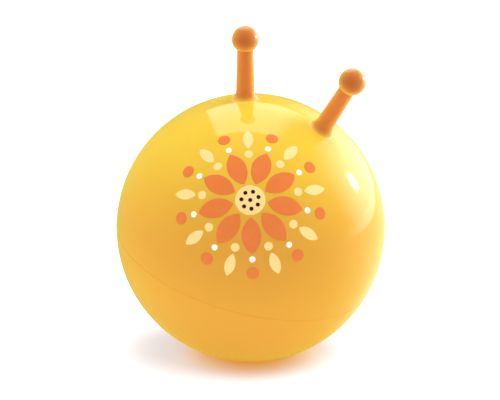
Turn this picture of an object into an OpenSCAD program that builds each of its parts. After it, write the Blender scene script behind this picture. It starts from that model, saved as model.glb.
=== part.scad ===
// Hopper ball: a hollow inflated ball with two soft knobbed handles, an air plug at the back and a printed
// flower on the front. Millimetres. +Z is up, the print faces -Y, and the origin is the middle of the patch
// that the ball rests on. The ball stands leaning to +X, so one handle points straight up.

/* [Ball] */
// Outer diameter of the inflated ball
ball_d = 450; // [380:5:600]
// Thickness of the inflated skin
skin_t = 1.2; // [1:0.1:2.5]
// How far the standing ball is pressed flat
rest_sag = 5; // [3:0.5:9]
// Lean of the ball's own axis towards +X, in degrees
lean = 15.5; // [0:0.5:20]

/* [Mould seam] */
// Distance of the seam's plane below the ball's middle, along the ball's own axis
seam_drop = 47; // [0:1:80]
// Radius of the seam's rounded bead
seam_bead_r = 0.6; // [0.5:0.05:0.7]
// Height of the bead above the skin
seam_proud = 0.35; // [0.25:0.05:0.4]

/* [Handles] */
// Angle from the ball's axis to the middle of each root, in degrees
root_angle = 18; // [16:0.5:26]
// Angle from the ball's axis to each handle's own line, in degrees
splay = 15.5; // [12:0.5:26]
// Height of the soft root, where a handle bends
root_h = 16; // [12:1:20]
// Radius of the hollow curve that flares the root onto the ball
flare_r = 24; // [20:1:30]
// Distance from the ball's surface to the middle of the knob
knob_reach = 100; // [80:1:120]
// Diameter of the round knob
knob_d = 44; // [36:1:52]
// Diameter of the grip where it leaves the root
grip_foot_d = 30; // [26:0.5:34]
// Diameter of the grip under the knob
grip_neck_d = 26; // [20:0.5:30]
// Wall thickness of the hollow handle
handle_t = 3; // [2:0.25:4]

/* [Valve] */
// Diameter of the air hole
air_hole_d = 9.2; // [7:0.2:11]
// Radial clearance of the plug in the air hole
plug_clear = 0.05; // [0.02:0.01:0.1]
// Diameter of the plug's head
head_d = 18; // [14:0.5:20]
// Thickness of the plug's head
head_t = 2; // [1.5:0.25:3]
// Length of the plug's shank
shank_l = 20; // [16:0.5:26]
// Number of barbs round the shank
barb_count = 4; // [2:1:5]
// Height of each barb above the shank's core
barb_proud = 0.7; // [0.4:0.1:1]
// Diameter of the seat that holds the plug
seat_d = 27; // [25:0.5:32]
// Length of the seat, from its outer face inwards
seat_l = 17; // [12:0.5:22]
// Diameter of the seat's flange inside the skin
seat_flange_d = 44; // [38:1:52]
// Thickness of that flange at its middle
seat_flange_t = 5; // [4:0.5:7]

/* [Print] */
// Height of the print's middle above the ball's equator, in degrees
print_lift = 36; // [24:1:40]
// Turn of the print's middle round the ball's axis, in degrees
print_turn = 12; // [-15:1:15]
// Thickness of one layer of ink
ink_t = 0.25; // [0.15:0.05:0.4]
// Number of petals round the flower
petal_count = 9; // [6:1:10]
// Radius of the flower's eye
eye_r = 24; // [18:0.5:28]
// Length of a petal
petal_l = 58; // [44:1:64]
// Width of a petal
petal_w = 31; // [20:0.5:34]
// Space between the eye and each petal's inner tip
petal_gap = 3.5; // [2:0.5:6]
// Radius of the small dots between the petal tips
gap_dot_r = 7; // [4:0.5:9]
// Radius of the large dots in the outer ring
ring_dot_r = 10; // [6:0.5:12]
// Length of the leaves in the outer ring
leaf_l = 38; // [28:1:42]
// Width of the leaves in the outer ring
leaf_w = 17; // [10:0.5:20]
// Radius of one seed in the flower's eye
seed_r = 3.3; // [2:0.1:4]
// Number of seeds round the middle one
seed_count = 7; // [5:1:8]
// Radius of the white dots in the outer ring
bright_dot_r = 5; // [3:0.5:6]

/* [Clearances] */
// Bond line between pieces that are welded or glued together
bond_gap = 0.1; // [0.05:0.01:0.2]
// Space under and around the plug's head
head_gap = 0.2; // [0.1:0.05:0.4]

/* [Hidden] */
$fn = 96;
ball_fn = 240;

left = -1;
right = 1;

ball_r = ball_d / 2;
centre_z = ball_r - rest_sag;

seam_in = seam_bead_r - seam_proud;
seam_ring_r = sqrt(pow(ball_r - seam_in, 2) - pow(seam_drop, 2));

grip_foot_r = grip_foot_d / 2;
grip_neck_r = grip_neck_d / 2;
handle_bore_r = grip_foot_r - handle_t;
root_sink = root_h / 4;
root_blank_r = grip_foot_r + flare_r / 2;
handle_hole_span = 2 * root_sink + handle_t;

air_hole_r = air_hole_d / 2;
barb_r = air_hole_r - plug_clear;
core_r = barb_r - barb_proud;
seat_r = seat_d / 2;
seat_face = sqrt(pow(ball_r, 2) - pow(seat_r, 2)) - skin_t / 3;
head_pocket_floor = seat_face - head_t - head_gap;
head_pocket_r = head_d / 2 + head_gap;
head_edge = head_t / 4;
scoop_r = (seat_r - head_pocket_r) * 0.8;
barb_pitch = shank_l / (barb_count + 2);
nose_l = barb_pitch;

ink_floor = ball_r + bond_gap;
overprint_floor = ink_floor + ink_t + bond_gap;
petal_step = 360 / petal_count;
petal_arc = eye_r + petal_gap + petal_l / 2;
petal_tip_arc = petal_arc + petal_l / 2;
gap_dot_arc = petal_tip_arc - gap_dot_r;
ring_arc = petal_tip_arc + petal_gap + leaf_l / 2;
bright_dot_arc = petal_tip_arc + petal_gap + bright_dot_r;
ring_dot_arc = ring_arc + leaf_l / 2 - ring_dot_r;
seed_arc = eye_r * 0.58;

vinyl_yellow = "#f2b632";
vinyl_orange = "#e07a2c";
plug_white = "#f4f1ea";
ink_orange = "#e2743a";
ink_cream = "#f4cf86";
ink_white = "#fbf4e4";
ink_dark = "#2c1610";

// Frames that carry the pieces

// The ball's own frame: its middle, with Z along the leaning axis between the handles
module ball_frame() {
    translate([0, 0, centre_z])
        rotate([0, lean, 0])
            children();
}

// A handle's frame: where its line meets the ball, with Z along the handle
module handle_frame(side) {
    ball_frame()
        rotate([0, side * root_angle, 0])
            translate([0, 0, ball_r])
                rotate([0, side * (splay - root_angle), 0])
                    children();
}

// The valve's frame: the ball's middle, with Z out of the back of the ball
module valve_frame() {
    translate([0, 0, centre_z])
        rotate([-90, 0, 0])
            children();
}

// The print's frame: the ball's middle, with Z out through the middle of the print
module print_frame() {
    ball_frame()
        rotate([0, 0, print_turn])
            rotate([90 - print_lift, 0, 0])
                children();
}

// A place on the skin, at a distance along the surface from the middle of the print, in a given direction
module on_print(arc, bearing) {
    rotate([0, 0, bearing])
        rotate([-arc / ball_r * 180 / PI, 0, 0])
            children();
}

// Shapes that repeat

// A pointed oval, as two arcs that cross
module pointed_oval(length, width) {
    arc_r = (pow(length, 2) + pow(width, 2)) / (4 * width);
    intersection() {
        translate([arc_r - width / 2, 0]) circle(r = arc_r);
        translate([width / 2 - arc_r, 0]) circle(r = arc_r);
    }
}

// One layer of ink in the flat shape given, laid on the skin from a given radius up
module ink(floor_r) {
    intersection() {
        difference() {
            sphere(r = floor_r + ink_t, $fn = ball_fn);
            sphere(r = floor_r, $fn = ball_fn);
        }
        translate([0, 0, ball_r / 2])
            linear_extrude(height = ball_r)
                children();
    }
}

// Ball

module seam_bead() {
    translate([0, 0, -seam_drop])
        rotate_extrude($fn = ball_fn)
            translate([seam_ring_r, 0])
                circle(r = seam_bead_r, $fn = 24);
}

// Half of the ball's section from its middle line out, drawn in by a thickness and flat where it rests
module ball_section(inset) {
    intersection() {
        translate([0, centre_z]) circle(r = ball_r - inset, $fn = ball_fn);
        translate([0, inset]) square(ball_d);
    }
}

module ball_skin() {
    color(vinyl_yellow)
    difference() {
        union() {
            rotate_extrude($fn = ball_fn)
                difference() {
                    ball_section(0);
                    ball_section(skin_t);
                }
            ball_frame() seam_bead();
        }
        for (side = [left, right])
            handle_frame(side)
                translate([0, 0, -handle_hole_span])
                    cylinder(r = handle_bore_r, h = 2 * handle_hole_span);
        valve_frame()
            translate([0, 0, ball_r - seat_l])
                cylinder(r = seat_r + bond_gap, h = 2 * seat_l);
    }
}

// Handles

module handle_root(side) {
    color(vinyl_orange)
    difference() {
        handle_frame(side)
            difference() {
                translate([0, 0, -root_sink])
                    cylinder(r = root_blank_r, h = root_h + root_sink);
                translate([0, 0, root_h])
                    rotate_extrude()
                        translate([grip_foot_r + flare_r, 0])
                            circle(r = flare_r);
                translate([0, 0, -2 * root_sink])
                    cylinder(r = handle_bore_r, h = root_h + 3 * root_sink);
            }
        ball_frame() sphere(r = ball_r + bond_gap, $fn = ball_fn);
    }
}

// The grip's form, drawn in by a wall thickness for its hollow
module grip_form(inset) {
    translate([0, 0, root_h])
        cylinder(r1 = grip_foot_r - inset, r2 = grip_neck_r - inset, h = knob_reach - root_h);
    translate([0, 0, knob_reach])
        sphere(r = knob_d / 2 - inset);
}

module handle_grip(side) {
    color(vinyl_orange)
    handle_frame(side)
        difference() {
            grip_form(0);
            grip_form(handle_t);
        }
}

// Valve

module valve_seat() {
    color(vinyl_yellow)
    valve_frame()
        difference() {
            union() {
                translate([0, 0, seat_face - seat_l])
                    cylinder(r = seat_r, h = seat_l);
                intersection() {
                    translate([0, 0, ball_r - skin_t - seat_flange_t])
                        cylinder(r = seat_flange_d / 2, h = seat_flange_t);
                    sphere(r = ball_r - skin_t - bond_gap, $fn = ball_fn);
                }
            }
            translate([0, 0, seat_face - 2 * seat_l])
                cylinder(r = air_hole_r, h = 3 * seat_l);
            translate([0, 0, head_pocket_floor])
                cylinder(r = head_pocket_r, h = seat_l);
            translate([0, head_pocket_r, seat_face])
                sphere(r = scoop_r);
        }
}

// One barb: a ring that widens away from the plug's nose
module barb() {
    cylinder(r1 = core_r, r2 = barb_r, h = barb_pitch / 2);
    translate([0, 0, barb_pitch / 2])
        cylinder(r = barb_r, h = barb_pitch / 8);
}

module valve_plug() {
    color(plug_white)
    valve_frame()
        translate([0, 0, head_pocket_floor + head_gap / 2]) {
            cylinder(r = head_d / 2, h = head_t - head_edge);
            translate([0, 0, head_t - head_edge])
                cylinder(r1 = head_d / 2, r2 = head_d / 2 - head_edge, h = head_edge);
            translate([0, 0, nose_l - shank_l])
                cylinder(r = core_r, h = shank_l - nose_l);
            translate([0, 0, -shank_l])
                cylinder(r1 = core_r / 2, r2 = core_r, h = nose_l);
            for (i = [1 : barb_count])
                translate([0, 0, -shank_l + i * barb_pitch])
                    barb();
        }
}

// Print

module print_orange() {
    color(ink_orange)
    print_frame()
        for (i = [0 : petal_count - 1]) {
            on_print(petal_arc, i * petal_step)
                ink(ink_floor) pointed_oval(petal_l, petal_w);
            on_print(ring_dot_arc, i * petal_step)
                ink(ink_floor) circle(r = ring_dot_r);
        }
}

module print_cream() {
    color(ink_cream)
    print_frame() {
        ink(ink_floor) circle(r = eye_r);
        for (i = [0 : petal_count - 1]) {
            on_print(gap_dot_arc, (i + 0.5) * petal_step)
                ink(ink_floor) circle(r = gap_dot_r);
            on_print(ring_arc, (i + 0.5) * petal_step)
                ink(ink_floor) pointed_oval(leaf_l, leaf_w);
        }
    }
}

module print_white() {
    color(ink_white)
    print_frame()
        for (i = [0 : petal_count - 1])
            on_print(bright_dot_arc, i * petal_step)
                ink(ink_floor) circle(r = bright_dot_r);
}

module print_dark() {
    color(ink_dark)
    print_frame() {
        ink(overprint_floor) circle(r = seed_r);
        for (i = [0 : seed_count - 1])
            on_print(seed_arc, i * 360 / seed_count)
                ink(overprint_floor) circle(r = seed_r);
    }
}

ball_skin();
handle_root(left);  // left_handle_root
handle_grip(left);  // left_handle_grip
handle_root(right);  // right_handle_root
handle_grip(right);  // right_handle_grip
valve_seat();
valve_plug();
print_orange();
print_cream();
print_white();
print_dark();
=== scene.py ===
import bpy
import numpy as np
from mathutils import Matrix, Vector


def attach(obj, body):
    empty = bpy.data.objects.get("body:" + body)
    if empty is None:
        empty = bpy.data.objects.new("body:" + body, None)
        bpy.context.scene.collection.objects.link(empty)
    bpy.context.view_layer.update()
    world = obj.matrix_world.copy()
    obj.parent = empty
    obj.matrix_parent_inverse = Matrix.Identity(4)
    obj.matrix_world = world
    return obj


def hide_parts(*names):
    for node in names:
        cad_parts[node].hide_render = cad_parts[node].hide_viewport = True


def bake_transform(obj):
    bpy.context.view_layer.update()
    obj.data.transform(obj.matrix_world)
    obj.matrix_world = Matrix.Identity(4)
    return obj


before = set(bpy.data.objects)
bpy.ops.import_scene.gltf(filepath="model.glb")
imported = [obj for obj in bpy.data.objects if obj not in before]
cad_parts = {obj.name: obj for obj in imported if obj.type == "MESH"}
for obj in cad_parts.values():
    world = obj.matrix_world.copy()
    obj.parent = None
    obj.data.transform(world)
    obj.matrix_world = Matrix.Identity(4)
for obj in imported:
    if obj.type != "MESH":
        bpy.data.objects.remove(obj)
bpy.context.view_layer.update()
print("frame loaded:", len(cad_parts), "nodes")

# lengths in metres, angles in degrees; +Z is up, the print faces -Y, the valve +Y
ball = {
    "radius": 0.225,
    "middle": (0.0, 0.0, 0.220),
    "lean": 15.5,            # of the ball's own axis towards +X
    "restSoftness": 0.0012,  # how gently the skin turns flat where it rests
    "rings": 210,
    "columns": 280,
}


# plain helpers

def turnX(degrees):
    # turn about X, right-handed
    a = np.radians(degrees)
    return np.array([[1, 0, 0], [0, np.cos(a), -np.sin(a)], [0, np.sin(a), np.cos(a)]])


def turnY(degrees):
    # turn about Y, right-handed
    a = np.radians(degrees)
    return np.array([[np.cos(a), 0, np.sin(a)], [0, 1, 0], [-np.sin(a), 0, np.cos(a)]])


def turnZ(degrees):
    # turn about Z, right-handed
    a = np.radians(degrees)
    return np.array([[np.cos(a), -np.sin(a), 0], [np.sin(a), np.cos(a), 0], [0, 0, 1]])


ballMiddle = np.array(ball["middle"])
ballTurn = turnY(ball["lean"])


def meshFrom(name, points, quads, triangles):
    # vertices, four-sided faces and three-sided faces as whole arrays, all shaded smooth
    mesh = bpy.data.meshes.new(name)
    corners = np.concatenate([quads.ravel(), triangles.ravel()]).astype(np.int32)
    starts = np.concatenate([4 * np.arange(len(quads)), 4 * len(quads) + 3 * np.arange(len(triangles))])
    mesh.vertices.add(len(points))
    mesh.vertices.foreach_set("co", np.ascontiguousarray(points, np.float32).ravel())
    mesh.loops.add(len(corners))
    mesh.loops.foreach_set("vertex_index", corners)
    mesh.polygons.add(len(starts))
    mesh.polygons.foreach_set("loop_start", starts.astype(np.int32))
    mesh.polygons.foreach_set("use_smooth", np.ones(len(starts), bool))
    mesh.update(calc_edges=True)
    mesh.validate()
    piece = bpy.data.objects.new(name, mesh)
    bpy.context.scene.collection.objects.link(piece)
    return piece


def gridFaces(rings, columns, closedRings=False):
    # faces of a grid whose columns run round and meet; the rings meet too on a closed section
    ring = np.arange(rings if closedRings else rings - 1)[:, None]
    column = np.arange(columns)[None, :]
    nextRing = (ring + 1) % rings
    nextColumn = (column + 1) % columns
    faces = [ring * columns + column, ring * columns + nextColumn,
             nextRing * columns + nextColumn, nextRing * columns + column]
    return np.stack(faces, axis=-1).reshape(-1, 4)


def fanFaces(pole, firstOfRing, columns, flip):
    # three-sided faces from one pole to a ring
    here = firstOfRing + np.arange(columns)
    after = firstOfRing + (np.arange(columns) + 1) % columns
    order = [np.full(columns, pole), after, here] if flip else [np.full(columns, pole), here, after]
    return np.stack(order, axis=-1)


def noFaces():
    # for a mesh that has no three-sided faces
    return np.zeros((0, 3), int)


def ringAngles(columns):
    # even steps once round, in radians
    return np.linspace(0, 2 * np.pi, columns, endpoint=False)


def arcPoints(middle, radius, fromDegrees, toDegrees, count):
    # points of a circle arc in the plane of a section
    a = np.radians(np.linspace(fromDegrees, toDegrees, count))
    return np.stack([middle[0] + radius * np.cos(a), middle[1] + radius * np.sin(a)], axis=-1)


def linePoints(start, end, count):
    # evenly spaced points between two points of a section, without the last
    t = np.linspace(0, 1, count, endpoint=False)[:, None]
    return np.array(start) * (1 - t) + np.array(end) * t


def roundLine(section, columns):
    # a section of (radius, distance) carried round the valve's line, which points to +Y
    a = ringAngles(columns)
    x = section[:, 0, None] * np.cos(a)
    y = np.broadcast_to(section[:, 1, None], x.shape)
    z = -section[:, 0, None] * np.sin(a)
    return np.stack([x, y, z], axis=-1)


# nodes of materials and lights

def nodesOf(name):
    # a new material with its tree and its shader
    material = bpy.data.materials.new(name)
    material.use_nodes = True
    tree = material.node_tree
    shader = tree.nodes["Principled BSDF"]
    return material, tree, shader


def partsOf(tree, place):
    # the X, Y and Z of a place
    node = tree.nodes.new("ShaderNodeSeparateXYZ")
    tree.links.new(place, node.inputs["Vector"])
    return node.outputs


def attributeOf(tree, name):
    # one of the mesh's own values
    node = tree.nodes.new("ShaderNodeAttribute")
    node.attribute_name = name
    return node.outputs["Fac"]


def noiseOn(tree, coordinates, scale, detail, roughness):
    # a noise over the coordinates, mostly around a half
    noise = tree.nodes.new("ShaderNodeTexNoise")
    noise.inputs["Scale"].default_value = scale
    noise.inputs["Detail"].default_value = detail
    noise.inputs["Roughness"].default_value = roughness
    tree.links.new(coordinates, noise.inputs["Vector"])
    return noise.outputs["Fac"]


def rangeOf(tree, value, low, high, toLow, toHigh):
    # carries a value from one range to another in a straight line, and holds it at the ends
    node = tree.nodes.new("ShaderNodeMapRange")
    node.inputs["From Min"].default_value = low
    node.inputs["From Max"].default_value = high
    node.inputs["To Min"].default_value = toLow
    node.inputs["To Max"].default_value = toHigh
    tree.links.new(value, node.inputs["Value"])
    return node.outputs["Result"]


def smoothStep(tree, value, reach, toLow, toHigh):
    # the same along a smooth step
    result = rangeOf(tree, value, *reach, toLow, toHigh)
    result.node.interpolation_type = "SMOOTHSTEP"
    return result


def mathOn(tree, operation, *values):
    # one step of arithmetic; each value is a plain number or comes from another node
    node = tree.nodes.new("ShaderNodeMath")
    node.operation = operation
    for socket, value in zip(node.inputs, values):
        if isinstance(value, float):
            socket.default_value = value
        else:
            tree.links.new(value, socket)
    return node.outputs["Value"]


def vectorOn(tree, operation, place, other=None):
    # one step of arithmetic on a place: normalize gives another vector, the rest give a number
    node = tree.nodes.new("ShaderNodeVectorMath")
    node.operation = operation
    tree.links.new(place, node.inputs[0])
    if other is not None:
        node.inputs[1].default_value = tuple(other)
    return node.outputs["Vector" if operation == "NORMALIZE" else "Value"]


def mixColours(tree, share, first, second):
    # the first colour turned into the second by a share; each is plain or comes from another node
    node = tree.nodes.new("ShaderNodeMix")
    node.data_type = "RGBA"
    tree.links.new(share, node.inputs["Factor"])
    for socket, colour in ((node.inputs["A"], first), (node.inputs["B"], second)):
        if isinstance(colour, tuple):
            socket.default_value = (*colour, 1)
        else:
            tree.links.new(colour, socket)
    return node.outputs["Result"]


def bumpOn(tree, height, strength, distance, under=None):
    # a fine relief, laid over another one where that is given
    node = tree.nodes.new("ShaderNodeBump")
    node.inputs["Strength"].default_value = strength
    node.inputs["Distance"].default_value = distance
    tree.links.new(height, node.inputs["Height"])
    if under is not None:
        tree.links.new(under, node.inputs["Normal"])
    return node.outputs["Normal"]


# materials; a noise is given by scale, detail and roughness, and levels say which part of it
# is carried to which range
vinyl = {
    "ballPale": (0.80, 0.505, 0.041),
    "ballDeep": (0.78, 0.465, 0.034),
    # painted shade: the ball's lower part is painted deeper orange, for the darker, warmer light it gets from
    # below
    "ballShadeUnder": (0.715, 0.325, 0.038),
    "underHeights": (0.24, 0.42),       # full below the first, none above the second
    # painted shade, deeper still close to the floor
    "ballShadeFoot": (0.62, 0.250, 0.036),   # close to the floor
    "footHeights": (0.02, 0.17),
    "seamPale": (0.80, 0.33, 0.026),
    "seamDeep": (0.74, 0.28, 0.020),
    "handlePale": (0.68, 0.165, 0.022),
    "handleDeep": (0.62, 0.138, 0.018),
    # painted shade: the knob's deeper colour, for less light through its thicker wall
    "knobShadeColour": (0.41, 0.040, 0.007),
    "ballEdge": (0.72, 0.46, (1.0, 0.80, 0.09)),   # sheen: how strong, how broad, what colour
    "handleEdge": (1.0, 0.70, (1.0, 0.70, 0.15)),
    "ballInside": (0.15, 0.0012),       # how much light spreads inside, and how far
    "handleInside": (0.85, 0.015),
    "insideReach": (1.0, 0.55, 0.12),   # how much of that way red, green and blue go
    "rootSolid": 0.30,                  # no light spreads where a root has this much of the ball's colour
    "refraction": 1.53,
    "cloud": (7.0, 3.0, 0.55),
    "cloudLevels": (0.35, 0.65, 0.0, 1.0),
    "speck": (900.0, 2.0, 0.5),
    "speckLevels": (0.62, 0.80, 0.0, 0.22),
    "rub": (38.0, 6.0, 0.62),
    "rubLevels": (0.35, 0.70, 0.06, 0.12),   # to the roughness of the least and the most rubbed places
    "ripple": (60.0, 2.0, 0.4),
    "rippleHeight": 0.0006,
    "ballRipple": 0.08,
    "handleRipple": 0.02,
    "grain": (1400.0, 2.0, 0.5),
    "grainRelief": (0.05, 0.0001),      # strength and height
}


def vinylMaterial(name, pale, deep, edge, inside, rippleStrength, under=(), rootColour=None):
    # soft glossy vinyl: clouded colour, light that spreads inside, a faint moulded ripple and rub marks;
    # each colour of under is painted shade that comes in below its heights, a handle's knob gets painted
    # shade, and a handle's root runs into the root colour
    material, tree, shader = nodesOf(name)
    here = tree.nodes.new("ShaderNodeTexCoord").outputs["Object"]
    cloud = rangeOf(tree, noiseOn(tree, here, *vinyl["cloud"]), *vinyl["cloudLevels"])
    colour = mixColours(tree, cloud, pale, deep)
    # painted shade: deeper colours towards the bottom
    for paintedShadeColour, heights in under:
        low = smoothStep(tree, partsOf(tree, here)["Z"], heights, 1.0, 0.0)
        colour = mixColours(tree, low, colour, paintedShadeColour)
    speck = rangeOf(tree, noiseOn(tree, here, *vinyl["speck"]), *vinyl["speckLevels"])
    colour = mixColours(tree, speck, colour, deep)
    if rootColour is not None:
        fade = attributeOf(tree, "rootFade")
        # painted shade: the knob is painted deeper
        colour = mixColours(tree, attributeOf(tree, "knobShadeShare"), colour, vinyl["knobShadeColour"])
        colour = mixColours(tree, fade, colour, rootColour)
        spread = rangeOf(tree, fade, 0.0, vinyl["rootSolid"], inside[0], 0.0)
        tree.links.new(spread, shader.inputs["Subsurface Weight"])
    tree.links.new(colour, shader.inputs["Base Color"])
    rub = rangeOf(tree, noiseOn(tree, here, *vinyl["rub"]), *vinyl["rubLevels"])
    tree.links.new(rub, shader.inputs["Roughness"])
    ripple = bumpOn(tree, noiseOn(tree, here, *vinyl["ripple"]), rippleStrength, vinyl["rippleHeight"])
    grain = bumpOn(tree, noiseOn(tree, here, *vinyl["grain"]), *vinyl["grainRelief"], ripple)
    tree.links.new(grain, shader.inputs["Normal"])
    shader.inputs["IOR"].default_value = vinyl["refraction"]
    shader.inputs["Subsurface Weight"].default_value = inside[0]
    shader.inputs["Subsurface Scale"].default_value = inside[1]
    shader.inputs["Subsurface Radius"].default_value = vinyl["insideReach"]
    shader.inputs["Sheen Weight"].default_value = edge[0]
    shader.inputs["Sheen Roughness"].default_value = edge[1]
    shader.inputs["Sheen Tint"].default_value = (*edge[2], 1.0)
    return material


ink = {
    "plug": ((0.86, 0.84, 0.78), (0.80, 0.77, 0.70)),   # full colour, and where it is thin
    "orange": ((0.76, 0.185, 0.042), (0.78, 0.225, 0.045)),
    "cream": ((0.95, 0.66, 0.26), (0.93, 0.61, 0.19)),
    "white": ((0.95, 0.90, 0.78), (0.93, 0.84, 0.62)),
    "dark": ((0.020, 0.007, 0.005), (0.030, 0.011, 0.007)),
    "refraction": 1.5,
    "cover": (55.0, 4.0, 0.6),
    "coverLevels": (0.40, 0.72, 0.0, 0.55),
    "pinhole": (1100.0, 1.0, 0.4),
    "pinholeLevels": (0.70, 0.78, 0.0, 0.5),
    "rub": (45.0, 5.0, 0.6),
    "rubLevels": (0.35, 0.70, 0.09, 0.16),
    "screen": (1500.0, 2.0, 0.5),
    "screenRelief": (0.06, 0.0001),
}


def inkMaterial(name, full, thin):
    # screen-printed ink, and the plug's plastic: dense colour, slightly thin in a fine cloud,
    # with tiny pinholes and its own gloss
    material, tree, shader = nodesOf(name)
    here = tree.nodes.new("ShaderNodeTexCoord").outputs["Object"]
    cover = rangeOf(tree, noiseOn(tree, here, *ink["cover"]), *ink["coverLevels"])
    colour = mixColours(tree, cover, full, thin)
    pinhole = rangeOf(tree, noiseOn(tree, here, *ink["pinhole"]), *ink["pinholeLevels"])
    colour = mixColours(tree, pinhole, colour, thin)
    tree.links.new(colour, shader.inputs["Base Color"])
    rub = rangeOf(tree, noiseOn(tree, here, *ink["rub"]), *ink["rubLevels"])
    tree.links.new(rub, shader.inputs["Roughness"])
    screen = bumpOn(tree, noiseOn(tree, here, *ink["screen"]), *ink["screenRelief"])
    tree.links.new(screen, shader.inputs["Normal"])
    shader.inputs["IOR"].default_value = ink["refraction"]
    return material


# painted shade for the ball's lower part
paintedShadeColours = ((vinyl["ballShadeUnder"], vinyl["underHeights"]), (vinyl["ballShadeFoot"], vinyl["footHeights"]))
ballVinyl = vinylMaterial("ballVinyl", vinyl["ballPale"], vinyl["ballDeep"], vinyl["ballEdge"],
                          vinyl["ballInside"], vinyl["ballRipple"], paintedShadeColours)
handleVinyl = vinylMaterial("handleVinyl", vinyl["handlePale"], vinyl["handleDeep"], vinyl["handleEdge"],
                            vinyl["handleInside"], vinyl["handleRipple"], rootColour=vinyl["ballPale"])
seamVinyl = vinylMaterial("seamVinyl", vinyl["seamPale"], vinyl["seamDeep"], vinyl["ballEdge"],
                          vinyl["ballInside"], vinyl["ballRipple"])
plugPlastic = inkMaterial("plugPlastic", *ink["plug"])
orangeInk = inkMaterial("orangeInk", *ink["orange"])
creamInk = inkMaterial("creamInk", *ink["cream"])
whiteInk = inkMaterial("whiteInk", *ink["white"])
darkInk = inkMaterial("darkInk", *ink["dark"])
print("materials made")

# the ball's skin: a sphere in rings about the valve's line, from the front round to the valve's hole,
# over the hole's rounded edge and back along the inside; heights near the floor are eased flat,
# to half of z plus half of the root of z squared and softness squared
skinHole = {
    "radius": 0.0136,
    "wall": 0.0012,
    "edge": 0.0003,
    "edgePoints": 6,
    "straightStart": 1.6,   # edges below the rim
    "straightPoints": 3,
    "innerRings": 70,
}


def ballSkin():
    r, wall = ball["radius"], skinHole["wall"]
    hole, edge = skinHole["radius"], skinHole["edge"]
    around = np.linspace(np.pi, np.arcsin((hole + edge) / r), ball["rings"])[1:]
    outer = np.stack([r * np.sin(around), r * np.cos(around)], axis=-1)
    top = np.sqrt(r * r - hole * hole)
    corner = arcPoints((hole + edge, top - edge), edge, 90, 180, skinHole["edgePoints"])[1:]
    low = np.sqrt((r - wall) ** 2 - hole * hole)
    straightTop = top - skinHole["straightStart"] * edge
    straight = linePoints((hole, straightTop), (hole, low), skinHole["straightPoints"])
    back = np.linspace(np.arcsin(hole / (r - wall)), np.pi, skinHole["innerRings"])[:-1]
    inner = (r - wall) * np.stack([np.sin(back), np.cos(back)], axis=-1)
    section = np.concatenate([outer, corner, straight, inner])
    points = roundLine(section, ball["columns"]).reshape(-1, 3)
    points = np.concatenate([points, [[0.0, -r, 0.0], [0.0, wall - r, 0.0]]]) + ballMiddle
    rings, columns = len(section), ball["columns"]
    # the inside lies flat a wall's thickness above the floor
    inside = np.arange(len(points)) >= (len(outer) + len(corner)) * columns
    inside[-2] = False
    floorHeight = np.where(inside, wall, 0.0)
    soft = ball["restSoftness"]
    height = points[:, 2] - floorHeight
    points[:, 2] = floorHeight + 0.5 * (height + np.sqrt(height * height + soft * soft))
    ends = [fanFaces(rings * columns, 0, columns, True),
            fanFaces(rings * columns + 1, (rings - 1) * columns, columns, False)]
    return meshFrom("ball", points, gridFaces(rings, columns), np.concatenate(ends))


skin = ballSkin()
skin.data.materials.append(ballVinyl)
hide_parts("ball_skin")
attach(skin, "ball")
print("ball skin made:", len(skin.data.vertices), "points")

# the mould's parting line: a low rounded bead carried round a circle across the ball's axis;
# its height over the skin is a squared cosine of the distance from its middle
seam = {
    "drop": 0.047,        # of its circle below the ball's middle
    "halfWidth": 0.0009,
    "proud": 0.00040,
    "sink": 0.00006,      # of its edges into the skin
    "depth": 0.0004,      # of its underside
    "pointsAcross": 11,
    "columns": 900,
}


def seamBead():
    r = ball["radius"]
    across = np.linspace(-1, 1, seam["pointsAcross"])
    height = seam["proud"] * np.cos(across * np.pi / 2) ** 2 - seam["sink"] * np.abs(across)
    latitude = np.arcsin(-seam["drop"] / r) + across * seam["halfWidth"] / r
    # two points under the skin close the section
    reach = np.concatenate([r + height, [r - seam["depth"], r - seam["depth"]]])
    latitude = np.concatenate([latitude, [latitude[-1], latitude[0]]])
    a = ringAngles(seam["columns"])
    x = (reach * np.cos(latitude))[:, None] * np.cos(a)
    y = (reach * np.cos(latitude))[:, None] * np.sin(a)
    z = np.broadcast_to((reach * np.sin(latitude))[:, None], x.shape)
    points = np.stack([x, y, z], axis=-1).reshape(-1, 3) @ ballTurn.T + ballMiddle
    return meshFrom("seamBead", points, gridFaces(len(reach), seam["columns"], True), noFaces())


bead = seamBead()
bead.data.materials.append(seamVinyl)
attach(bead, "ball")
print("seam bead made")

# one handle, from its flared root to the top of its knob, as a section carried round the handle's line;
# the foot's rings follow the ball: each height gains the ball's own fall-away at that place,
# less and less up the root
handle = {
    "rootHeight": 0.016,
    "flareRadius": 0.024,
    "footRadius": 0.015,
    "neckRadius": 0.013,
    "knobReach": 0.100,
    "knobRadius": 0.022,
    "filletHeight": 0.0028,   # where the flare starts to run out onto the skin
    "skirtRadius": 0.0242,    # where it meets the skin
    "skirtLift": 0.00004,     # how far its edge stands over the skin
    "buried": ((0.006, -0.0032), (0.018, -0.0030), (0.0232, -0.0022), (0.0246, -0.0005)),   # in the skin
    "neckFillet": 0.0022,
    "neckBelow": 0.020,       # how far the neck lies below the knob's middle
    "fadeHeight": 0.0075,     # up to which the root's colour runs into the ball's
    "fadeCurve": 1.5,
    "fadeShare": 0.9,
    # the knob's painted shade
    "knobShare": 0.8,         # how much of the knob's deeper colour shows
    "bendStart": 0.0005,
    "points": {"skirt": 12, "flare": 16, "grip": 40, "neck": 9, "knob": 44},
    "columns": 128,
    "sides": {
        "left": {"rootAngle": -18.0, "lineAngle": -15.5, "body": "left_handle"},
        "right": {"rootAngle": 18.0, "lineAngle": 15.5, "body": "right_handle"},
    },
}


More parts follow.
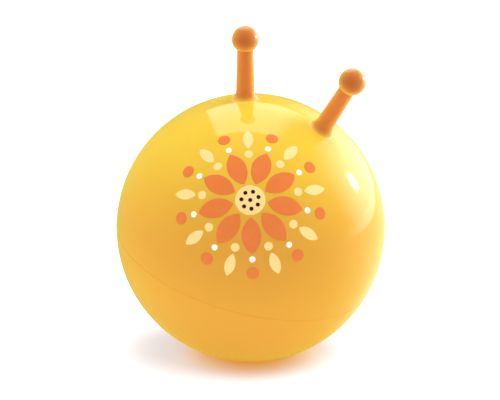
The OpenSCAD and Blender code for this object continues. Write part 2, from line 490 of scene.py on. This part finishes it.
def handleSection():
    # radius and height, from the buried underside out to the skirt and up to the knob's top
    h = handle
    count = h["points"]
    flareMiddle = h["footRadius"] + h["flareRadius"]
    low = h["filletHeight"]

    def flareAt(z):
        return flareMiddle - np.sqrt(h["flareRadius"] ** 2 - (h["rootHeight"] - z) ** 2)

    # skirt: a curve of two tangents, along the skin and along the flare
    first = np.array([flareAt(low), low])
    slope = (h["rootHeight"] - low) / np.sqrt(h["flareRadius"] ** 2 - (h["rootHeight"] - low) ** 2)
    meet = np.array([first[0] + slope * low, 0.0])
    last = np.array([h["skirtRadius"], h["skirtLift"]])
    t = np.linspace(0, 1, count["skirt"])[:, None]
    skirt = (1 - t) ** 2 * last + 2 * t * (1 - t) * meet + t ** 2 * first
    z = np.linspace(low, h["rootHeight"], count["flare"])[1:]
    flare = np.stack([flareAt(z), z], axis=-1)
    # the neck's small fillet touches the grip's line and the knob
    taper = (h["footRadius"] - h["neckRadius"]) / (h["knobReach"] - h["rootHeight"])
    f = h["neckFillet"]
    neckOut = h["neckRadius"] + f + taper * h["neckBelow"]
    drop = np.sqrt((h["knobRadius"] + f) ** 2 - neckOut ** 2)
    neckLow = h["knobReach"] - drop
    z = np.linspace(h["rootHeight"], neckLow, count["grip"])[1:-1]
    grip = np.stack([h["footRadius"] - taper * (z - h["rootHeight"]), z], axis=-1)
    toKnob = np.degrees(np.arctan2(drop, -neckOut))
    neck = arcPoints((neckOut, neckLow), f, 180, toKnob, count["neck"])
    fromNeck = np.degrees(np.arctan2(-drop, neckOut))
    knob = arcPoints((0.0, h["knobReach"]), h["knobRadius"], fromNeck, 90, count["knob"])[1:-1]
    return np.concatenate([np.array(h["buried"]), skirt, flare, grip, neck, knob])


def addValues(piece, name, values):
    # one value for each point of the mesh, for its material
    attribute = piece.data.attributes.new(name, "FLOAT", "POINT")
    attribute.data.foreach_set("value", values.astype(np.float32))


def handlePiece(side):
    values = handle["sides"][side]
    section = handleSection()
    a = ringAngles(handle["columns"])
    x = section[:, 0, None] * np.cos(a)
    y = section[:, 0, None] * np.sin(a)
    z = np.broadcast_to(section[:, 1, None], x.shape).copy()
    # the ball as the handle sees it: its middle in the handle's own frame, and its surface at each place
    skew = np.radians(values["rootAngle"] - values["lineAngle"])
    r = ball["radius"]
    middleX, middleZ = -r * np.sin(skew), -r * np.cos(skew)
    surface = middleZ + np.sqrt(r * r - (x - middleX) ** 2 - y * y)
    follow = 1 - np.clip(z / handle["rootHeight"], 0, 1)
    z = z + follow ** 2 * surface
    points = np.stack([x, y, z], axis=-1).reshape(-1, 3)
    top = [[0.0, 0.0, handle["knobReach"] + handle["knobRadius"]]]
    bottom = [[0.0, 0.0, float(z[0].mean())]]
    points = np.concatenate([points, top, bottom])
    foot = ballTurn @ turnY(values["rootAngle"]) @ np.array([0.0, 0.0, r]) + ballMiddle
    turn = ballTurn @ turnY(values["lineAngle"])
    rings, columns = len(section), handle["columns"]
    ends = [fanFaces(rings * columns, (rings - 1) * columns, columns, False),
            fanFaces(rings * columns + 1, 0, columns, True)]
    points = points @ turn.T + foot
    piece = meshFrom(side + "Handle", points, gridFaces(rings, columns), np.concatenate(ends))
    # the root's colour runs into the ball's: nearly full at the skirt, gone a little way up
    rise = np.concatenate([np.repeat(section[:, 1], columns), [1.0, 0.0]])
    fade = np.clip(1 - rise / handle["fadeHeight"], 0, 1) ** handle["fadeCurve"]
    addValues(piece, "rootFade", fade * handle["fadeShare"])
    # painted shade: the knob is painted deeper, standing in for less light through its thicker wall: none at
    # the neck, most from the knob's middle up, on a smooth step
    thick = np.clip((rise - handle["knobReach"] + handle["knobRadius"]) / handle["knobRadius"], 0, 1)
    thick[-2:] = [1.0, 0.0]
    addValues(piece, "knobShadeShare", thick * thick * (3 - 2 * thick) * handle["knobShare"])
    piece.data.materials.append(handleVinyl)
    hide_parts(side + "_handle_root", side + "_handle_grip")
    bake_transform(piece)
    return piece


for side in handle["sides"]:
    made = handlePiece(side)
    print(side, "handle made:", len(made.data.vertices), "points")

# the valve at the back: sections carried round its line, as radius and distance from the ball's middle
valve = {
    "seatRadius": 0.0135,
    "seatFace": 0.2241946,
    "seatEnd": 0.2071946,
    "seatEdge": 0.0003,
    "flangeRadius": 0.022,
    "flangeLow": 0.2188,
    "flangeSkin": 0.2237,       # the flange's top lies on a ball of this radius at both its edges
    "airHole": 0.0046,
    "pocketRadius": 0.0092,
    "pocketFloor": 0.2219946,
    "scoopRadius": 0.00344,
    "scoopDepth": 0.0020,
    "headRadius": 0.009,
    "headLow": 0.2220946,
    "headTop": 0.2240946,
    "headEdge": 0.0005,
    "dish": ((0.0008, 0.00022), (0.0030, 0.00020), (0.0052, 0.00012)),   # radius, depth below the top
    "grooveMiddle": 0.0062,
    "grooveRadius": 0.00045,
    "landRadii": (0.0072, 0.0080),
    "headUnder": 0.0070,
    "coreRadius": 0.00385,
    "coreFillet": (0.0004, 0.0005),
    "barbRadius": 0.00455,
    "barbPlaces": (0.64, 0.625, 0.5, 0.0),   # in steps from one barb to the next
    "barbs": 4,
    "shank": 0.020,
    "noseShares": (0.8, 0.5, 0.4),           # of the core's radius
    "noseRound": 0.0003,
    "columns": 144,
    "seatColumns": 360,
    "nearly": 1e-6,
}


def valveSeat():
    # up the outside, round the flange, over the face, down the pocket and the air hole, and back
    v = valve
    r, end, face, edge = v["seatRadius"], v["seatEnd"], v["seatFace"], v["seatEdge"]
    wide, low = v["flangeRadius"], v["flangeLow"]
    hole, pocket, floor = v["airHole"], v["pocketRadius"], v["pocketFloor"]
    flangeEdge = np.sqrt(v["flangeSkin"] ** 2 - wide ** 2)
    collar = np.sqrt(v["flangeSkin"] ** 2 - r ** 2)
    section = np.concatenate([
        linePoints((r, end), (r, low), 6),
        linePoints((r, low), (wide, low), 6),
        linePoints((wide, low), (wide, flangeEdge), 4),
        linePoints((wide, flangeEdge), (r, collar), 8),
        linePoints((r, collar), (r, face - edge), 4),
        arcPoints((r - edge, face - edge), edge, 0, 90, 5),
        linePoints((r - 2 * edge, face), (pocket + edge, face), 36),
        arcPoints((pocket + edge, face - edge), edge, 90, 180, 5),
        linePoints((pocket, face - 2 * edge), (pocket, floor), 8),
        linePoints((pocket, floor), (hole, floor), 8),
        linePoints((hole, floor), (hole, end), 10),
        linePoints((hole, end), (r, end), 6),
    ])
    points = roundLine(section, v["seatColumns"])
    # a fingernail scoop under the plug's rim: its depth falls with the square of the distance
    # from its middle, and heights over the pocket's floor shrink to suit
    flat = np.hypot(points[..., 0], points[..., 2] + pocket)
    depth = v["scoopDepth"] * np.clip(1 - (flat / v["scoopRadius"]) ** 2, 0, None)
    kept = 1 - depth / (face - floor)
    over = points[..., 1] - floor
    scooped = (section[:, 0, None] >= pocket - v["nearly"]) & (over > v["nearly"])
    points[..., 1] = np.where(scooped, floor + over * kept, points[..., 1])
    points = points.reshape(-1, 3) + ballMiddle
    return meshFrom("valveSeat", points, gridFaces(len(section), v["seatColumns"], True), noFaces())


def valvePlug():
    # from the dished head's middle out over its groove and rim, then down the barbs to the nose
    v = valve
    low, top, rim, edge = v["headLow"], v["headTop"], v["headRadius"], v["headEdge"]
    core, end = v["coreRadius"], low - v["shank"]
    pitch = v["shank"] / (v["barbs"] + 2)
    fillet = v["coreFillet"]
    head = np.concatenate([
        np.array([[radius, top - depth] for radius, depth in v["dish"]]),
        arcPoints((v["grooveMiddle"], top), v["grooveRadius"], 180, 360, 7),
        np.array([[radius, top] for radius in v["landRadii"]]),
        arcPoints((rim - edge, top - edge), edge, 90, 0, 6),
        arcPoints((rim - edge / 2, low + edge / 2), edge / 2, 0, -90, 5),
        np.array([[v["headUnder"], low], [core + fillet[0], low], [core, low - fillet[1]]]),
    ])
    # each barb leans back towards the head: a slope out and a short land, repeated down the shank
    step = np.arange(v["barbs"], 0, -1)[:, None]
    base = end + step * pitch
    radius = np.array([core, v["barbRadius"], v["barbRadius"], core])
    along = np.array(v["barbPlaces"]) * pitch
    barbs = np.stack([np.broadcast_to(radius, (v["barbs"], 4)), base + along], axis=-1).reshape(-1, 2)
    noseRadii = core * np.array(v["noseShares"])
    nose = np.stack([noseRadii, end + np.array([pitch / 2, v["noseRound"], 0.0])], axis=-1)
    section = np.concatenate([head, barbs, nose])[::-1]
    points = roundLine(section, v["columns"]).reshape(-1, 3)
    poles = [[0.0, end, 0.0], [0.0, top - v["dish"][0][1], 0.0]]
    points = np.concatenate([points, poles]) + ballMiddle
    rings, columns = len(section), v["columns"]
    ends = [fanFaces(rings * columns, 0, columns, True),
            fanFaces(rings * columns + 1, (rings - 1) * columns, columns, False)]
    return meshFrom("valvePlug", points, gridFaces(rings, columns), np.concatenate(ends))


seat = valveSeat()
seat.data.materials.append(ballVinyl)
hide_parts("valve_seat")
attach(seat, "ball")
plug = valvePlug()
plug.data.materials.append(plugPlastic)
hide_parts("valve_plug")
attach(plug, "plug")
print("valve made")

# the printed flower: flat shapes laid on the skin, each a few rings drawn in from its outline
flower = {
    "lift": 36.0,         # of its middle above the ball's equator
    "turn": 12.0,         # round the ball's axis
    "petals": 9,
    "eye": 0.024,
    "petalLength": 0.058,
    "petalWidth": 0.031,
    "gap": 0.0035,
    "gapDot": 0.007,
    "ringDot": 0.010,
    "leafLength": 0.038,
    "leafWidth": 0.017,
    "seed": 0.0033,
    "seeds": 7,
    "seedRing": 0.58,     # of the eye's radius
    "brightDot": 0.005,
    "ink": 0.00022,       # how far one layer stands over the skin
    "softEdge": 0.00022,  # how far in it reaches that height
    "clear": 0.00004,     # of its edge over the skin
    "depth": 0.0012,      # of its underside's middle in the skin
    "drawnIn": (1.0, 0.90, 0.75, 0.55, 0.35, 0.15),
    "columns": 72,
}
printTurn = ballTurn @ turnZ(flower["turn"]) @ turnX(90 - flower["lift"])


def dotOutline(radius):
    # a circle
    a = ringAngles(flower["columns"])
    return radius * np.stack([np.cos(a), np.sin(a)], axis=-1)


def ovalOutline(length, width):
    # a pointed oval: two arcs of one radius that cross at the tips
    bend = (length ** 2 + width ** 2) / (4 * width)
    reach = np.arcsin(length / 2 / bend)
    a = np.linspace(-reach, reach, flower["columns"] // 2, endpoint=False)
    right = np.stack([bend * np.cos(a) - (bend - width / 2), bend * np.sin(a)], axis=-1)
    return np.concatenate([right, -right])


def laidOnSkin(outline, arcs, bearings, layer):
    # for each place: rings of the outline drawn in towards its middle, raised over the skin with a
    # soft edge, then turned out along the skin by the arc and round the print by the bearing
    r = ball["radius"]
    size = np.hypot(outline[:, 0], outline[:, 1])[None, :, None]
    inner = np.array(flower["drawnIn"])[:, None, None] * outline[None] * (1 - flower["softEdge"] / size)
    flat = np.concatenate([outline[None], inner])
    over = r + layer * flower["ink"] + flower["clear"]
    reach = np.concatenate([[over - flower["ink"]], np.full(len(inner), over)])[:, None]
    z = np.sqrt(reach ** 2 - flat[..., 0] ** 2 - flat[..., 1] ** 2)
    local = np.concatenate([flat, z[..., None]], axis=-1).reshape(-1, 3)
    poles = [[0.0, 0.0, r - flower["depth"]], [0.0, 0.0, over]]
    local = np.concatenate([local, poles])
    leans = -np.degrees(np.broadcast_to(arcs, np.shape(bearings)) / r)
    turns = np.stack([printTurn @ turnZ(b) @ turnX(lean) for lean, b in zip(leans, bearings)])
    points = np.einsum("nij,pj->npi", turns, local).reshape(-1, 3) + ballMiddle
    rings, columns = len(flat), outline.shape[0]
    quads = gridFaces(rings, columns)
    ends = np.concatenate([fanFaces(rings * columns, 0, columns, True),
                           fanFaces(rings * columns + 1, (rings - 1) * columns, columns, False)])
    first = np.arange(len(turns))[:, None, None] * len(local)
    return points, (quads[None] + first).reshape(-1, 4), (ends[None] + first).reshape(-1, 3)


def inkPiece(name, shapes, node, material):
    # all shapes of one ink as one mesh; a shape is an outline, its arcs, its bearings and its layer
    points, quads, triangles, count = [], [], [], 0
    for outline, arcs, bearings, layer in shapes:
        p, q, t = laidOnSkin(outline, arcs, np.atleast_1d(bearings), layer)
        points.append(p)
        quads.append(q + count)
        triangles.append(t + count)
        count += len(p)
    piece = meshFrom(name, np.concatenate(points), np.concatenate(quads), np.concatenate(triangles))
    piece.data.materials.append(material)
    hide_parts(node)
    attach(piece, "ball")
    print(name, "made:", len(piece.data.polygons), "faces")


petalTurns = np.arange(flower["petals"]) * 360.0 / flower["petals"]
gapTurns = petalTurns + 180.0 / flower["petals"]
seedTurns = np.arange(flower["seeds"]) * 360.0 / flower["seeds"]
petal = ovalOutline(flower["petalLength"], flower["petalWidth"])
leaf = ovalOutline(flower["leafLength"], flower["leafWidth"])
petalTip = flower["eye"] + flower["gap"] + flower["petalLength"]
ringMiddle = petalTip + flower["gap"] + flower["leafLength"] / 2
ringEnd = ringMiddle + flower["leafLength"] / 2
inkPiece("orangePrint", [
    (petal, petalTip - flower["petalLength"] / 2, petalTurns, 1),
    (dotOutline(flower["ringDot"]), ringEnd - flower["ringDot"], petalTurns, 1),
], "print_orange", orangeInk)
inkPiece("creamPrint", [
    (dotOutline(flower["eye"]), 0.0, 0.0, 1),
    (dotOutline(flower["gapDot"]), petalTip - flower["gapDot"], gapTurns, 1),
    (leaf, ringMiddle, gapTurns, 1),
], "print_cream", creamInk)
inkPiece("whitePrint", [
    (dotOutline(flower["brightDot"]), petalTip + flower["gap"] + flower["brightDot"], petalTurns, 1),
], "print_white", whiteInk)
inkPiece("darkPrint", [
    (dotOutline(flower["seed"]), 0.0, 0.0, 2),
    (dotOutline(flower["seed"]), flower["eye"] * flower["seedRing"], seedTurns, 2),
], "print_dark", darkInk)

# camera: placed by the angles that the picture was taken from, and aimed and zoomed so that the ball
# has its place and size in the picture
view = {
    "azimuth": 22.25,
    "elevation": 20.5,
    "distance": 3.5,
    "ballPixels": 134.4,        # the ball's radius in the picture
    "ballAt": (250.85, 227.2),
    "picture": (500, 400),
    "sensor": 36.0,             # millimetres
    "farEnd": 60.0,
}


def placeCamera():
    # the sight line leans from the ball's middle by the ball's place in the picture over the focal length;
    # gives back the camera's own right and back along the floor
    az, el = np.radians(view["azimuth"]), np.radians(view["elevation"])
    towards = np.array([np.sin(az) * np.cos(el), -np.cos(az) * np.cos(el), np.sin(el)])
    right = np.array([np.cos(az), np.sin(az), 0.0])
    up = np.cross(towards, right)
    focal = view["ballPixels"] * np.sqrt(view["distance"] ** 2 - ball["radius"] ** 2) / ball["radius"]
    aside = (view["ballAt"][0] - view["picture"][0] / 2) / focal
    below = (view["ballAt"][1] - view["picture"][1] / 2) / focal
    ahead = -towards + below * up - aside * right
    ahead = ahead / np.linalg.norm(ahead)
    side = np.cross(ahead, up)
    side = side / np.linalg.norm(side)
    top = np.cross(side, ahead)
    data = bpy.data.cameras.new("camera")
    data.sensor_fit = "HORIZONTAL"
    data.sensor_width = view["sensor"]
    data.lens = view["sensor"] * focal / view["picture"][0]
    data.clip_end = view["farEnd"]
    camera = bpy.data.objects.new("camera", data)
    place = np.eye(4)
    place[:3, 0], place[:3, 1], place[:3, 2] = side, top, -ahead
    place[:3, 3] = ballMiddle + view["distance"] * towards
    camera.matrix_world = Matrix(place.tolist())
    bpy.context.scene.collection.objects.link(camera)
    bpy.context.scene.camera = camera
    return right, np.array([-right[1], right[0], 0.0])


rightward, backward = placeCamera()
print("camera placed")

# soft boxes: direction from the ball as right, back and up, then distance, width, height and power
softBoxes = {
    "overhead": ((0.06, 0.58, 0.81), 1.75, 1.50, 1.45, 14.0),
    "topFill": ((0.24, 0.16, 1.00), 2.00, 1.90, 1.90, 34.5),
    "rightPanel": ((0.93, 0.28, 0.36), 1.90, 1.60, 1.60, 24.5),
    "rightLamp": ((0.884, 0.354, 0.290), 1.60, 0.24, 0.36, 5.0),
    "rightGlow": ((0.86, 0.42, 0.26), 1.80, 2.60, 2.80, 20.0),
    "rightBack": ((0.56, 0.82, 0.12), 2.60, 2.80, 3.40, 17.0),
    "leftPanel": ((-0.90, 0.05, 0.38), 1.90, 1.50, 1.50, 15.5),
    "backPanel": ((0.05, 0.97, 0.22), 2.20, 2.60, 1.80, 4.5),
    "frontLow": ((-0.05, -0.95, 0.26), 1.50, 1.40, 0.36, 2.6),
}
studio = {
    "tints": {"leftPanel": (0.90, 1.0, 1.05), "topFill": (0.95, 1.0, 1.02), "rightPanel": (0.81, 1.03, 1.0)},
    # give light, but don't show in reflections
    "unmirrored": ("topFill", "leftPanel", "rightPanel", "backPanel", "frontLow"),
    # only show in reflections
    "mirrored": ("overhead", "rightLamp", "rightGlow", "rightBack"),
    # bright in the middle, dark at the edges
    "fading": ("rightLamp", "rightGlow", "rightBack"),
    "sideFading": ("overhead",),    # dark towards one side
    "sideFade": (0.0, 0.34),        # shares of the panel's width between which it darkens
    "surround": 0.55,               # how much light the surroundings give
    "surroundMirrored": 0.15,       # how bright they are in reflections
}


def faceOf(data):
    # places across and along a panel's face, each from none to one
    data.use_nodes = True
    tree = data.node_tree
    parts = partsOf(tree, tree.nodes.new("ShaderNodeNewGeometry").outputs["Parametric"])
    return tree, parts["X"], parts["Y"]


def fadeOut(data):
    # brightness over a panel's face: squared sines across and along, times four to keep the power
    tree, across, along = faceOf(data)
    waves = [mathOn(tree, "SINE", mathOn(tree, "MULTIPLY", place, np.pi)) for place in (across, along)]
    squared = mathOn(tree, "POWER", mathOn(tree, "MULTIPLY", *waves), 2.0)
    strength = mathOn(tree, "MULTIPLY", squared, 4.0)
    tree.links.new(strength, tree.nodes["Emission"].inputs["Strength"])


def fadeSide(data):
    # a panel that darkens towards one side only, along a smooth step
    tree, across = faceOf(data)[:2]
    strength = smoothStep(tree, across, studio["sideFade"], 0.0, 1.0)
    tree.links.new(strength, tree.nodes["Emission"].inputs["Strength"])


def softBox(name, where, distance, width, height, power):
    # a panel at its distance from the ball's middle, facing it
    direction = where[0] * rightward + where[1] * backward + np.array([0.0, 0.0, where[2]])
    direction = direction / np.linalg.norm(direction)
    data = bpy.data.lights.new(name, "AREA")
    data.shape = "RECTANGLE"
    data.size, data.size_y = width, height
    data.energy = power
    data.color = studio["tints"].get(name, (1.0, 1.0, 1.0))
    if name in studio["fading"]:
        fadeOut(data)
    if name in studio["sideFading"]:
        fadeSide(data)
    lamp = bpy.data.objects.new(name, data)
    lamp.location = Vector(ballMiddle + distance * direction)
    lamp.rotation_euler = Vector(-direction).to_track_quat("-Z", "Y").to_euler()
    lamp.visible_glossy = name not in studio["unmirrored"]
    lamp.visible_diffuse = name not in studio["mirrored"]
    bpy.context.scene.collection.objects.link(lamp)


for name, values in softBoxes.items():
    softBox(name, *values)


def surroundings():
    # white to the camera, dimmer as a light, and dimmer still in reflections
    world = bpy.data.worlds.new("surround")
    world.use_nodes = True
    tree = world.node_tree
    background = tree.nodes["Background"]
    background.inputs["Color"].default_value = (1.0, 1.0, 1.0, 1.0)
    ray = tree.nodes.new("ShaderNodeLightPath").outputs
    given = rangeOf(tree, ray["Is Glossy Ray"], 0.0, 1.0, studio["surround"], studio["surroundMirrored"])
    seen = mathOn(tree, "MULTIPLY_ADD", ray["Is Camera Ray"], 1.0 - studio["surround"], given)
    tree.links.new(seen, background.inputs["Strength"])
    bpy.context.scene.world = world


surroundings()

# the floor, whose own light and look in reflections go by the distance from where the ball rests: a painted
# warm glow, a painted shadow and a painted reflection
ground = {
    "halfWidth": 9.0,
    "pale": (0.80, 0.80, 0.80),
    "dull": (0.788, 0.788, 0.788),
    "cloud": (3.0, 3.0, 0.5),
    "cloudLevels": (0.3, 0.7, 0.0, 1.0),
    "roughness": 0.16,
    "specular": 0.5,
    # painted light: the floor's colour and own light are warm where the ball rests, standing in for light
    # that comes through the ball
    "restPaintedWarm": (0.78, 0.69, 0.36),         # its colour where the ball rests
    "restGlow": (0.40, 0.18, 0.0),          # light that comes through the ball onto the floor
    "restReach": (0.050, 0.145),            # distances between which that ends
    # painted shadow: the floor's own light is dimmer round the ball and white further off, in a stretched
    # oval whose middle lies off to the left
    "paintedShadowGlow": (0.265, 0.285, 0.315),      # its own light round about
    "farGlow": (0.69, 0.73, 0.80),          # and further off
    "farReach": (0.10, 0.225),              # distances between which it turns white, by the stretch
    "farStretch": (0.81, 1.25),             # sideways and backwards
    "farMiddle": (-0.022, 0.0, 0.0),
    # painted reflection: how the floor shows in reflections, warm where the ball rests, grey round about, and
    # bright behind the ball and to its right
    "restMirrored": (0.60, 0.26, 0.03),     # in reflections: where the ball rests
    "mirroredReach": (0.09, 0.28),          # distances between which that ends
    "dimMirrored": (0.15, 0.15, 0.15),
    "brightMirrored": (0.95, 0.95, 0.95),   # behind the ball and to its right
    "brightAside": (0.05, 0.50),            # cosines to the right between which that comes in
    "brightBehind": (-0.60, 0.60),          # and to the back
}


def studioFloor():
    # a flat square far wider than the picture
    corners = ground["halfWidth"] * np.array([[-1, -1, 0], [1, -1, 0], [1, 1, 0], [-1, 1, 0]], float)
    floor = meshFrom("floor", corners, np.array([[0, 1, 2, 3]]), noFaces())
    material, tree, shader = nodesOf("floorPale")
    here = tree.nodes.new("ShaderNodeTexCoord").outputs["Object"]
    cloud = rangeOf(tree, noiseOn(tree, here, *ground["cloud"]), *ground["cloudLevels"])
    colour = mixColours(tree, cloud, ground["pale"], ground["dull"])
    shader.inputs["Roughness"].default_value = ground["roughness"]
    shader.inputs["Specular IOR Level"].default_value = ground["specular"]
    # painted light by the distance from where the ball rests, on smooth steps: warm close by, a painted
    # shadow round about, white further off
    apart = vectorOn(tree, "LENGTH", here)
    away = smoothStep(tree, apart, ground["restReach"], 0.0, 1.0)
    # painted light: the floor's colour is warm where the ball rests
    tree.links.new(mixColours(tree, away, ground["restPaintedWarm"], colour), shader.inputs["Base Color"])
    # painted shadow: the floor's own light is dimmer round the ball
    stretched = tree.nodes.new("ShaderNodeCombineXYZ")
    for axis, line, stretch in zip("XY", (rightward, backward), ground["farStretch"]):
        tree.links.new(vectorOn(tree, "DOT_PRODUCT", here, stretch * line), stretched.inputs[axis])
    wide = vectorOn(tree, "DISTANCE", stretched.outputs["Vector"], ground["farMiddle"])
    far = smoothStep(tree, wide, ground["farReach"], 0.0, 1.0)
    white = mixColours(tree, far, ground["paintedShadowGlow"], ground["farGlow"])
    glow = mixColours(tree, away, ground["restGlow"], white)
    tree.links.new(glow, shader.inputs["Emission Color"])
    shader.inputs["Emission Strength"].default_value = 1.0
    # painted reflection: in reflections it is warm under the ball, and bright behind the ball and to its
    # right
    heading = vectorOn(tree, "NORMALIZE", here)
    aside = vectorOn(tree, "DOT_PRODUCT", heading, rightward)
    behind = vectorOn(tree, "DOT_PRODUCT", heading, backward)
    bright = mathOn(tree, "MULTIPLY", smoothStep(tree, aside, ground["brightAside"], 0.0, 1.0),
                    smoothStep(tree, behind, ground["brightBehind"], 0.0, 1.0))
    grey = mixColours(tree, bright, ground["dimMirrored"], ground["brightMirrored"])
    cool = smoothStep(tree, apart, ground["mirroredReach"], 0.0, 1.0)
    mirrored = tree.nodes.new("ShaderNodeEmission")
    tree.links.new(mixColours(tree, cool, ground["restMirrored"], grey), mirrored.inputs["Color"])
    either = tree.nodes.new("ShaderNodeMixShader")
    tree.links.new(tree.nodes.new("ShaderNodeLightPath").outputs["Is Glossy Ray"], either.inputs["Fac"])
    tree.links.new(shader.outputs["BSDF"], either.inputs[1])
    tree.links.new(mirrored.outputs["Emission"], either.inputs[2])
    tree.links.new(either.outputs["Shader"], tree.nodes["Material Output"].inputs["Surface"])
    floor.data.materials.append(material)


studioFloor()
settings = bpy.context.scene.view_settings
settings.view_transform = "Standard"
settings.look = "None"
settings.exposure = 0.0
print("studio lit")
